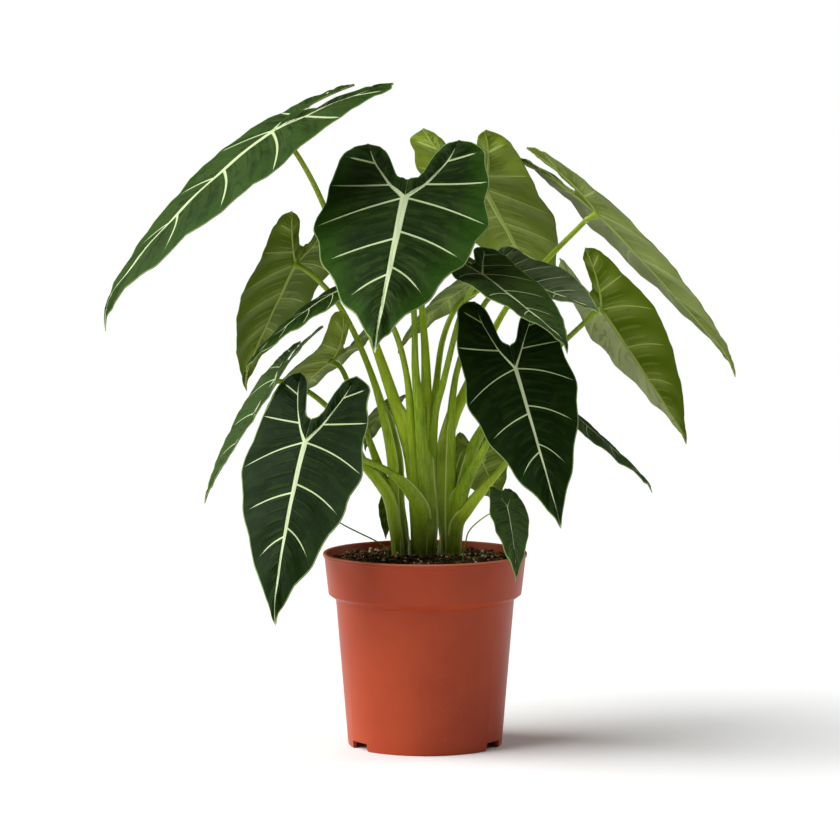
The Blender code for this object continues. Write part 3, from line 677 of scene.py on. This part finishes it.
stalk.set(Base_Color=green, Roughness=0.42 + 0.12 * fine, Subsurface_Weight=0.12,
          Subsurface_Radius=(0.002, 0.004, 0.001), Subsurface_Scale=1.0, IOR=1.45, Specular_IOR_Level=0.35)
stalk.bump(fine + 0.4 * stalk.grain(500.0, 2.0), 0.0004, 0.4)

for shoot, ((x, y), radius) in SHOOT_BASES.items():
    heap = Heap()
    maps = []
    for leaf in LEAVES.values():
        if leaf.shoot == shoot:
            maps.append(build_stalk(leaf, heap, draw.random(), draw.uniform(*SHEATH_ENDS)))
    if not shoot.startswith("small"):
        crown = [(x, y, STALK_FOOT + CROWN_STEP * i) for i in range(len(CROWN_SHARES))]
        points, faces = tube(crown, [radius * share for share in CROWN_SHARES], 24)
        heap.add(points * MM, faces, CROWN_TONE)
        maps.append(np.zeros((len(points), 2)))
    if shoot in SPIKES:
        maps.append(build_spike(heap, *SPIKES[shoot]))
    points = np.array(heap.points)
    height = np.clip((points[:, 2] - FOOT_SHADE_FROM) / FOOT_SHADE_HEIGHT, 0, 1)
    maps = np.vstack(maps)
    stalk_map = np.stack([maps[:, 0], height, maps[:, 1]], 1)
    mesh = mesh_of("stalks_" + shoot, points, heap.faces, heap.tones, {"stalk_map": stalk_map})
    piece = add_piece("stalks_" + shoot, mesh, stalk.material)
    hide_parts("shoot_" + shoot)

# Leaf blades: velvety arrow-shaped leaves, dark above with broad pale veins, and paler beneath.
# Each hangs from its stalk by the notch between its back lobes and bends under its own weight.
# The flat blade from a back lobe's tip on, with a midrib 1 long: where its veins leave the ribs, where
# they reach the margin, and the edge of the notch between the lobes.
SPINE = (
    (-0.39, 0.175), (-0.26, 0.145), (-0.105, 0.075), (0.0, 0.0),
    (0.26, 0.0), (0.5, 0.0), (0.75, 0.0), (1.0, 0.0),
)
MARGIN = (
    (-0.39, 0.175), (-0.33, 0.275), (-0.14, 0.33), (0.15, 0.38),
    (0.4, 0.31), (0.675, 0.18), (0.885, 0.05), (1.0, 0.0),
)
SINUS = ((-0.39, 0.175), (-0.33, 0.105), (-0.165, 0.05), (-0.125, 0.0))
JUNCTION = 3
LAST = len(SPINE) - 1
MIDRIB_STEPS = 741
DRIP_START = 0.8
FOLD_EASE = 1.1
SCALLOP = 0.018
VEIN_BOW = 0.16
STAGGER = 0.025
REFERENCE_LENGTH = 170.0
ACROSS = 0.87
RIB_ROOT = 3.6
RIB_TIP = 0.7
RIB_TAPER = 1.15
RIB_RISE = 1.1
BASAL_PLACES = (0.25, 0.5, 1, 2, 3)
BASAL_WIDTHS = (0.01, 0.5, 0.75, 1.2, 2.4)
HALF_BLEND = 40
LAST_LATERAL = 5
LATERAL_ROOT = 1.2
LATERAL_END = 0.6
LATERAL_REACH = (0.7, 0.78, 0.965, 0.955, 0.86, 0.76)
LATERAL_POINT = 0.12
LATERAL_RISE = 0.5
UPPER_RISE = 0.12
QUILT = 0.012
FRILL = 0.0035
FRILL_RATES = (5.1, 9.7, 16.3)
INNER_WAVE = 0.3
BLADE_HALF = 0.3
VEIN_STEPS = (0, 0.012, 0.03, 0.06, 0.11, 0.2, 0.34, 0.5, 0.66, 0.8, 0.89, 0.94, 0.97, 0.988)
OUTER_STEPS = (0, 0.008, 0.018, 0.03, 0.045, 0.065, 0.1, 0.15, 0.21, 0.28, 0.35, 0.42, 0.5, 0.58,
               0.66, 0.74, 0.81, 0.87, 0.92, 0.96, 0.985, 1)
INNER_STEPS = (0, 0.03, 0.07, 0.13, 0.25, 0.42, 0.6, 0.78, 0.92, 1)


def midrib_table(leaf):
    """Places and directions of the unit midrib at steps of its length."""
    steps = np.linspace(-0.8, 1.05, MIDRIB_STEPS)
    back = np.maximum(steps / SPINE[0][0], 0)
    drip = np.maximum(steps - DRIP_START, 0) / (1 - DRIP_START)
    bend = np.radians(np.where(steps < 0, leaf.lobe_bend * back, -leaf.arch * steps - leaf.curl * drip))
    turn = -np.radians(leaf.lobe_turn) * back
    ahead = np.stack([np.cos(bend) * np.cos(turn), np.cos(bend) * np.sin(turn), np.sin(bend)], 1)
    middle = (ahead[1:] + ahead[:-1]) / 2 * np.diff(steps)[:, None]
    place = np.vstack([np.zeros(3), np.cumsum(middle, axis=0)])
    return steps, place - place[np.argmin(np.abs(steps))], ahead


def at(table, column, where):
    """Table column's vectors at the given steps."""
    return np.stack([np.interp(where, table[0], table[column][:, i]) for i in range(3)], -1)


def bent(leaf, table, along, across, lift):
    """Places on the plant, in millimetres, of points of the flat blade lifted off it."""
    centre = at(table, 1, along)
    ahead = at(table, 2, along)
    side = np.stack([-ahead[..., 1], ahead[..., 0], np.zeros(along.shape)], -1)
    side /= np.linalg.norm(side, axis=-1)[..., None]
    normal = np.cross(ahead, side)
    reach = np.abs(across)
    rise = math.sin(math.radians(leaf.fold)) * reach * (1 - FOLD_EASE * reach) + lift
    point = centre + side * across[..., None] + normal * rise[..., None]
    tip = at(table, 1, np.array(1.0))
    scale = leaf.length / np.linalg.norm(tip)
    x_axis = tip / np.linalg.norm(tip)
    y_axis = np.array((-x_axis[1], x_axis[0], 0)) / math.hypot(x_axis[0], x_axis[1])
    z_axis = np.cross(x_axis, y_axis)
    turned = np.outer(x_axis, leaf.forward) + np.outer(y_axis, leaf.side) + np.outer(z_axis, leaf.face)
    return leaf.junction + point @ turned * scale


def flat_strip(leaf, strip, mirror):
    """One strip of the blade laid flat, from its ribs to the margin or to the notch between the lobes.

    Gives each point's phase, which is whole on a vein, its share of the way out, its place and the
    way from the rib to the edge there.
    """
    last = JUNCTION if strip == "inner" else LAST
    phases = np.array([i + step for i in range(last) for step in VEIN_STEPS] + [last])
    shares = np.array(INNER_STEPS if strip == "inner" else OUTER_STEPS)
    phase, share = np.meshgrid(phases, shares, indexing="ij")
    basal = smooth_curve(SPINE[:JUNCTION + 1], np.minimum(phase, JUNCTION))
    central = smooth_curve(SPINE[JUNCTION:], np.maximum(phase, JUNCTION) - JUNCTION)
    staggered = np.clip(phase - JUNCTION, 0, 1) * np.clip((LAST - phase) / 2, 0, 1)
    central[..., 0] -= mirror * STAGGER * staggered
    start = np.where((phase <= JUNCTION)[..., None], basal, central)
    end = smooth_curve(SINUS if strip == "inner" else MARGIN, phase)
    if strip == "outer":
        ray = end - start
        ray /= np.maximum(np.linalg.norm(ray, axis=-1), 1e-6)[..., None]
        taper = np.sin(math.pi * phase / last)
        end = end + ray * (SCALLOP / 2 * np.cos(2 * math.pi * phase) * taper)[..., None]
    else:
        end[..., 0] = SPINE[0][0] + (end[..., 0] - SPINE[0][0]) * leaf.notch
    flat = start + (end - start) * share[..., None]
    if strip == "outer":
        bow = VEIN_BOW * np.clip(phase - JUNCTION + 1, 0, 1) * np.sin(math.pi * share)
        flat[..., 0] -= bow * (end - start)[..., 0]
    return phase, share, flat, end - start


def blade_grid(leaf, table, strip, mirror, draw, widths):
    """Grid of one strip of the blade: its places, and the numbers that its veins are painted from."""
    phase, share, flat, way = flat_strip(leaf, strip, mirror)
    length = leaf.length
    width = np.linalg.norm(way, axis=-1) * length * ACROSS
    away = np.where(phase >= JUNCTION, np.abs(flat[..., 1]) * length, share * width)
    tread = np.linalg.norm(np.gradient(flat, phase[:, 0], axis=0), axis=-1) * length
    nearest = np.clip(np.round(phase), 1, LAST_LATERAL)
    from_vein = np.abs(phase - nearest) * tread if strip == "outer" else np.full(phase.shape, 99.0)
    rib_size, vein_size = [scale * length / REFERENCE_LENGTH for scale in widths]
    forwards = np.clip(flat[..., 0], 0, 1)
    central_rib = RIB_TIP + (RIB_ROOT - RIB_TIP) * (1 - forwards) ** RIB_TAPER
    basal_rib = np.interp(phase, BASAL_PLACES, BASAL_WIDTHS)
    rib = np.where(phase >= JUNCTION, central_rib, basal_rib) * rib_size
    ends = np.interp(nearest, range(len(LATERAL_REACH)), LATERAL_REACH)
    narrowing = np.clip((ends - share) / LATERAL_POINT, 0.001, 1) ** 0.6
    vein = (LATERAL_ROOT + (LATERAL_END - LATERAL_ROOT) * share) * vein_size * narrowing
    shifts = draw.uniform(0, 6.28, len(FRILL_RATES))
    ripples = sum(np.sin(phase * rate + mirror * shift) for rate, shift in zip(FRILL_RATES, shifts))
    frill = FRILL * share ** 6 * ripples / 2
    quilt = QUILT * np.sin(math.pi * phase) ** 2 * np.sin(math.pi * np.clip(share * 1.05, 0, 1)) ** 0.8
    fade = np.clip((phase - 0.15) / 0.6, 0, 1) * np.clip((LAST - phase) / 0.8, 0, 1)
    swell = leaf.wave * (1.0 if strip == "outer" else INNER_WAVE)
    lift = swell * np.sin(math.pi * phase) ** 2 * share + (frill + quilt) * fade
    along = flat[..., 0] * np.where(flat[..., 0] < 0, leaf.lobe / -SPINE[0][0], 1.0)
    across = mirror * flat[..., 1] * leaf.width / MARGIN[JUNCTION][1]
    behind = along < 0
    across = across * np.where(behind, 1 + (leaf.lobe_width - 1) * along / SPINE[0][0], 1)
    along = along * np.where(behind, 1 + leaf.lobe_skew * across / MARGIN[0][1], 1)
    places = bent(leaf, table, along, across, lift)
    veins = np.stack([away / rib, from_vein / vein, phase], -1)
    # Which half is painted lighter: painted light and shade for how the fold turns each half to the light.
    half_light = np.clip(mirror * flat[..., 1] * HALF_BLEND, -1, 1)
    spread = np.stack([(1 - share) * width, share, half_light], -1)
    rib_ridge = RIB_RISE * np.exp(-(away / rib / 0.8) ** 2) * (1 - forwards * 0.7)
    vein_ridge = LATERAL_RISE * np.exp(-np.minimum(from_vein / vein / 0.9, 9) ** 2)
    ridge = np.maximum(rib_ridge, vein_ridge * np.clip(1.3 - share * 1.4, 0, 1)) * rib_size
    return places, veins, spread, ridge


def weld(points):
    """Numbers of the first point at each place, in order, and for every point which of those it is."""
    keys = np.round(points, 4) + 0.0
    _, first, inverse = np.unique(keys, axis=0, return_index=True, return_inverse=True)
    order = np.argsort(first)
    rank = np.empty_like(order)
    rank[order] = np.arange(len(order))
    return first[order], rank[inverse.ravel()]


def build_blade(name, leaf, draw, tone, painted_half_light, rib_width, vein_width):
    """Mesh of a blade: an upper and a lower skin joined round the margin, ribbed beneath.

    The painted half light says how much lighter one half of the blade is painted than the other, as
    painted light and shade for its fold.
    """
    table = midrib_table(leaf)
    places, veins, spreads, ridges, faces = [], [], [], [], []
    start = 0
    for mirror in (1, -1):
        for strip in ("outer", "inner"):
            widths = (rib_width, vein_width)
            grid, vein, spread, ridge = blade_grid(leaf, table, strip, mirror, draw, widths)
            rows, columns = grid.shape[:2]
            number = start + np.arange(rows * columns).reshape(rows, columns)
            corners = [number[:-1, :-1], number[1:, :-1], number[1:, 1:], number[:-1, 1:]]
            corners = np.stack(corners, -1).reshape(-1, 4)
            faces.append(corners if (mirror == 1) == (strip == "outer") else corners[:, ::-1])
            places.append(grid.reshape(-1, 3))
            veins.append(vein.reshape(-1, 3))
            spreads.append(spread.reshape(-1, 3))
            ridges.append(ridge.ravel())
            start += rows * columns
    places = np.vstack(places)
    kept, inverse = weld(places)
    sheet = []
    for face in inverse[np.vstack(faces)].tolist():
        face = [a for a, b in zip(face, face[1:] + face[:1]) if a != b]
        if len(face) > 2:
            sheet.append(face)
    points = places[kept]
    skin = bpy.data.meshes.new("skin")
    skin.from_pydata(points.tolist(), [], sheet)
    normals = np.empty(len(points) * 3)
    skin.vertex_normals.foreach_get("vector", normals)
    normals = normals.reshape(-1, 3)
    bpy.data.meshes.remove(skin)
    ridge = np.concatenate(ridges)[kept]
    count = len(points)
    upper = points + normals * (BLADE_HALF - UPPER_RISE * ridge)[:, None]
    lower = points - normals * (BLADE_HALF + ridge)[:, None]
    edges = {(a, b): True for face in sheet for a, b in zip(face, face[1:] + face[:1])}
    rim = [(a, b) for a, b in edges if (b, a) not in edges]
    solid = sheet + [[i + count for i in reversed(face)] for face in sheet]
    solid += [[b, a, a + count, b + count] for a, b in rim]
    maps = {
        "vein_map": np.tile(np.vstack(veins)[kept], (2, 1)),
        "blade_map": np.tile(np.vstack(spreads)[kept] * (1, 1, painted_half_light), (2, 1)),
        "side": np.repeat([1.0, 0.0], count),
    }
    return mesh_of(name, np.vstack([upper, lower]) * MM, solid, np.full(2 * count, tone), maps)


TOP_DARK = (12, 30, 2)
TOP_LIGHT = (52, 76, 26)
# Painted sheen: the grey that the upper side of high-toned blades is painted towards, for the velvet's
# sheen.
TOP_SHEEN_GREY = (98, 110, 82)
TOP_EDGE = (44, 84, 6)
TOP_VEIN = (196, 210, 164)
TOP_VEIN_DIM = (190, 208, 156)
MARGIN_LINE = (146, 168, 106)
UNDER_DEEP = (84, 106, 4)
UNDER_LIGHT = (124, 140, 44)
# Painted sheen and light: the pale grey that the underside of high-toned blades and halves is painted
# towards.
UNDER_SHEEN_GREY = (176, 184, 140)
UNDER_VEIN = (174, 190, 96)
VELVET_SHEEN = (190, 205, 180)
# Each blade's tone, partly its own shade of green and partly painted light, shade and sheen for where it
# hangs; how much lighter one half is painted than the other, as painted light and shade; and how broad its
# ribs and veins are.
BLADES = {
    "leaf_front_top": (0.14, 0.0, 0.92, 1.0), "leaf_far_left": (0.56, 0.0, 1.0, 0.95),
    "leaf_upper_left": (0.2, 0.0, 0.8, 0.8), "leaf_left_folded": (0.15, 0.0, 0.8, 0.8),
    "leaf_left_back": (0.3, 0.4, 0.8, 0.8), "leaf_left_low_narrow": (0.64, 0.0, 0.8, 0.8),
    "leaf_front_left": (-0.06, 0.0, 0.8, 0.75), "leaf_small_behind_left": (0.3, 0.0, 0.6, 0.6),
    "leaf_big_back": (0.46, 0.0, 1.05, 0.9), "leaf_far_right": (0.58, 0.0, 0.9, 0.8),
    "leaf_right_dark_front": (0.64, 0.0, 0.75, 0.8), "leaf_right_dark_back": (1.0, 0.3, 0.7, 0.7),
    "leaf_middle_back": (0.2, 0.0, 0.7, 0.7), "leaf_right_back": (0.48, 0.7, 0.8, 0.8),
    "leaf_front_right": (-0.06, 0.0, 0.65, 0.65), "leaf_right_low_narrow": (0.65, 0.0, 0.6, 0.6),
    "leaf_small_over_rim": (0.66, 0.0, 0.42, 0.05), "leaf_small_right_back": (0.42, 0.3, 0.6, 0.6),
    "leaf_small_by_stems": (0.1, 0.0, 0.5, 0.4), "leaf_small_behind_front": (0.2, 0.0, 0.5, 0.4),
}

velvet = Paint("velvet_leaf")
rib, vein, phase = velvet.parts("vein_map")
from_edge, share, half_light = velvet.parts("blade_map")
side = velvet.number("side")
tone = velvet.number("tone")
# Painted light and shade: one half of some blades is made lighter in tone than the other.
tone = tone + half_light * 0.5
upper = side.ramp(0.45, 0.55)
cloud = velvet.grain(22.0, 3.0)
blotch = velvet.grain(60.0, 4.0, 0.6)
fine = velvet.grain(260.0, 3.0)
spot = {0: phase * 6, 1: share * 1.6, 2: cloud * 7 + tone * 20}
along_veins = velvet.node("ShaderNodeCombineXYZ", None, spot)
ripple = velvet.node("ShaderNodeTexNoise", None, {"Vector": along_veins, "Scale": 1.0, "Detail": 3.0})
band = (phase * (2 * math.pi)).math("COSINE") * 0.5 + 0.5
minor = (phase * (2 * math.pi * 4)).math("SINE") * 0.5 + 0.5
minor = (minor * share.ramp(0.95, 0.35) * share.ramp(0.0, 0.1)).ramp(0.6, 1.0)
primary = rib.ramp(1.06, 0.86)
secondary = vein.ramp(1.2, 0.8)
pale = primary.math("MAXIMUM", secondary)
margin = from_edge.ramp(1.0, 0.5)
top = velvet.mix(tone.ramp(-0.15, 0.75), srgb(TOP_DARK), srgb(TOP_LIGHT))
# Painted sheen: high tones turn the upper side grey.
top = velvet.mix(tone.ramp(0.5, 1.1), top, srgb(TOP_SHEEN_GREY))
top = velvet.mix(cloud.ramp(0.35, 0.7) * 0.35, top, srgb(TOP_DARK))
top = velvet.mix(ripple.ramp(0.47, 0.62) * tone.ramp(-0.25, 0.25) * 0.44, top, srgb(TOP_LIGHT))
top = velvet.mix(ripple.ramp(0.5, 0.35) * 0.5, top, srgb(TOP_DARK))
outer = share.ramp(0.5, 1.05) * (0.1 + 0.9 * blotch)
top = velvet.mix(outer * tone.ramp(-0.15, 0.2) * tone.ramp(0.95, 0.3), top, srgb(TOP_EDGE))
top = velvet.mix(minor * 0.14, top, srgb(TOP_EDGE))
top = velvet.mix(margin * 0.75, top, srgb(MARGIN_LINE))
top = velvet.mix(pale, top, velvet.mix(secondary * (1 - primary), srgb(TOP_VEIN), srgb(TOP_VEIN_DIM)))
under = velvet.mix(tone.ramp(0.1, 0.7), srgb(UNDER_DEEP), srgb(UNDER_LIGHT))
# Painted sheen and light: high tones turn the underside pale grey.
under = velvet.mix(tone.ramp(0.5, 1.0), under, srgb(UNDER_SHEEN_GREY))
under = velvet.mix(cloud.ramp(0.3, 0.7) * 0.35, under, srgb(UNDER_DEEP))
# Painted shade of the quilting: the underside is lighter near each vein and darker midway between them.
under = velvet.mix(band * share.ramp(1.0, 0.4) * 0.3, under, srgb(UNDER_VEIN))
under = velvet.mix(ripple.ramp(0.48, 0.34) * 0.45, under, srgb(UNDER_DEEP))
under = velvet.mix(minor * 0.2, under, srgb(UNDER_VEIN))
under = velvet.mix(pale * 0.8, under, srgb(UNDER_VEIN))
velvet.set(Base_Color=velvet.mix(upper, under, top), Roughness=0.52 - 0.1 * pale + 0.12 * fine,
           Sheen_Weight=0.025, Sheen_Roughness=0.35, Sheen_Tint=srgb(VELVET_SHEEN), IOR=1.42,
           Specular_IOR_Level=0.1)
velvet.bump(fine * 0.5 + cloud + minor * 0.9, 0.001, 0.7)

for name, leaf in LEAVES.items():
    blade_name = name.replace("leaf_", "blade_")
    mesh = build_blade(blade_name, leaf, draw, *BLADES[name])
    piece = add_piece(blade_name, mesh, velvet.material)
    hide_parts(name)

# Studio: a white sweep in soft light that comes from high on the left, with a weak fill all round.
# The camera stands well back with a long lens, a little above the plant's top.
SWEEP_WHITE = 0.945
KEY_FROM = (-1.0, -0.2, 0.85)
KEY_SOFTNESS = math.radians(64.0)
KEY_STRENGTH = 4.9
FILL_STRENGTH = 0.07
EDGE_FROM = (1.3, 0.5, 0.9)
EDGE_TARGET = (0, 0, 0.25)
EDGE_SIZES = (0.7, 1.4)
EDGE_WATTS = 7.0
LENS = 180.0
CAMERA_PLACE = (-0.0042, -3.470, 0.595)
CAMERA_DOWN = math.radians(5.33)

bpy.ops.mesh.primitive_plane_add(size=30.0, location=(0, 6.0, 0))
floor = bpy.context.object
floor.name = "studio_floor"
sweep = Paint("white_sweep")
sweep.set(Base_Color=(SWEEP_WHITE, SWEEP_WHITE, SWEEP_WHITE, 1.0), Roughness=0.95, Specular_IOR_Level=0.0)
floor.data.materials.append(sweep.material)


def aim(light, place, target):
    """Put a light at a place and point it at a target."""
    light.location = place
    light.rotation_euler = (Vector(target) - Vector(place)).to_track_quat("-Z", "Y").to_euler()
    bpy.context.scene.collection.objects.link(light)


key = bpy.data.lights.new("key", "SUN")
key.energy = KEY_STRENGTH
key.angle = KEY_SOFTNESS
aim(bpy.data.objects.new("key", key), KEY_FROM, (0, 0, 0))
edge = bpy.data.lights.new("edge", "AREA")
edge.shape = "RECTANGLE"
edge.size, edge.size_y = EDGE_SIZES
edge.energy = EDGE_WATTS
aim(bpy.data.objects.new("edge", edge), EDGE_FROM, EDGE_TARGET)

world = bpy.data.worlds.new("studio")
bpy.context.scene.world = world
world.use_nodes = True
air = world.node_tree
background = air.nodes["Background"]
background.inputs["Color"].default_value = (1.0, 1.0, 1.0, 1.0)
path = air.nodes.new("ShaderNodeLightPath")
level = air.nodes.new("ShaderNodeMapRange")
level.inputs["To Min"].default_value = FILL_STRENGTH
level.inputs["To Max"].default_value = 1.0
air.links.new(path.outputs["Is Camera Ray"], level.inputs["Value"])
air.links.new(level.outputs["Result"], background.inputs["Strength"])

lens = bpy.data.cameras.new("camera")
lens.lens = LENS
lens.sensor_width = 36.0
lens.clip_end = 60.0
camera = bpy.data.objects.new("camera", lens)
camera.location = CAMERA_PLACE
camera.rotation_euler = (math.radians(90) - CAMERA_DOWN, 0, 0)
bpy.context.scene.collection.objects.link(camera)
bpy.context.scene.camera = camera
bpy.context.scene.view_settings.view_transform = "Standard"
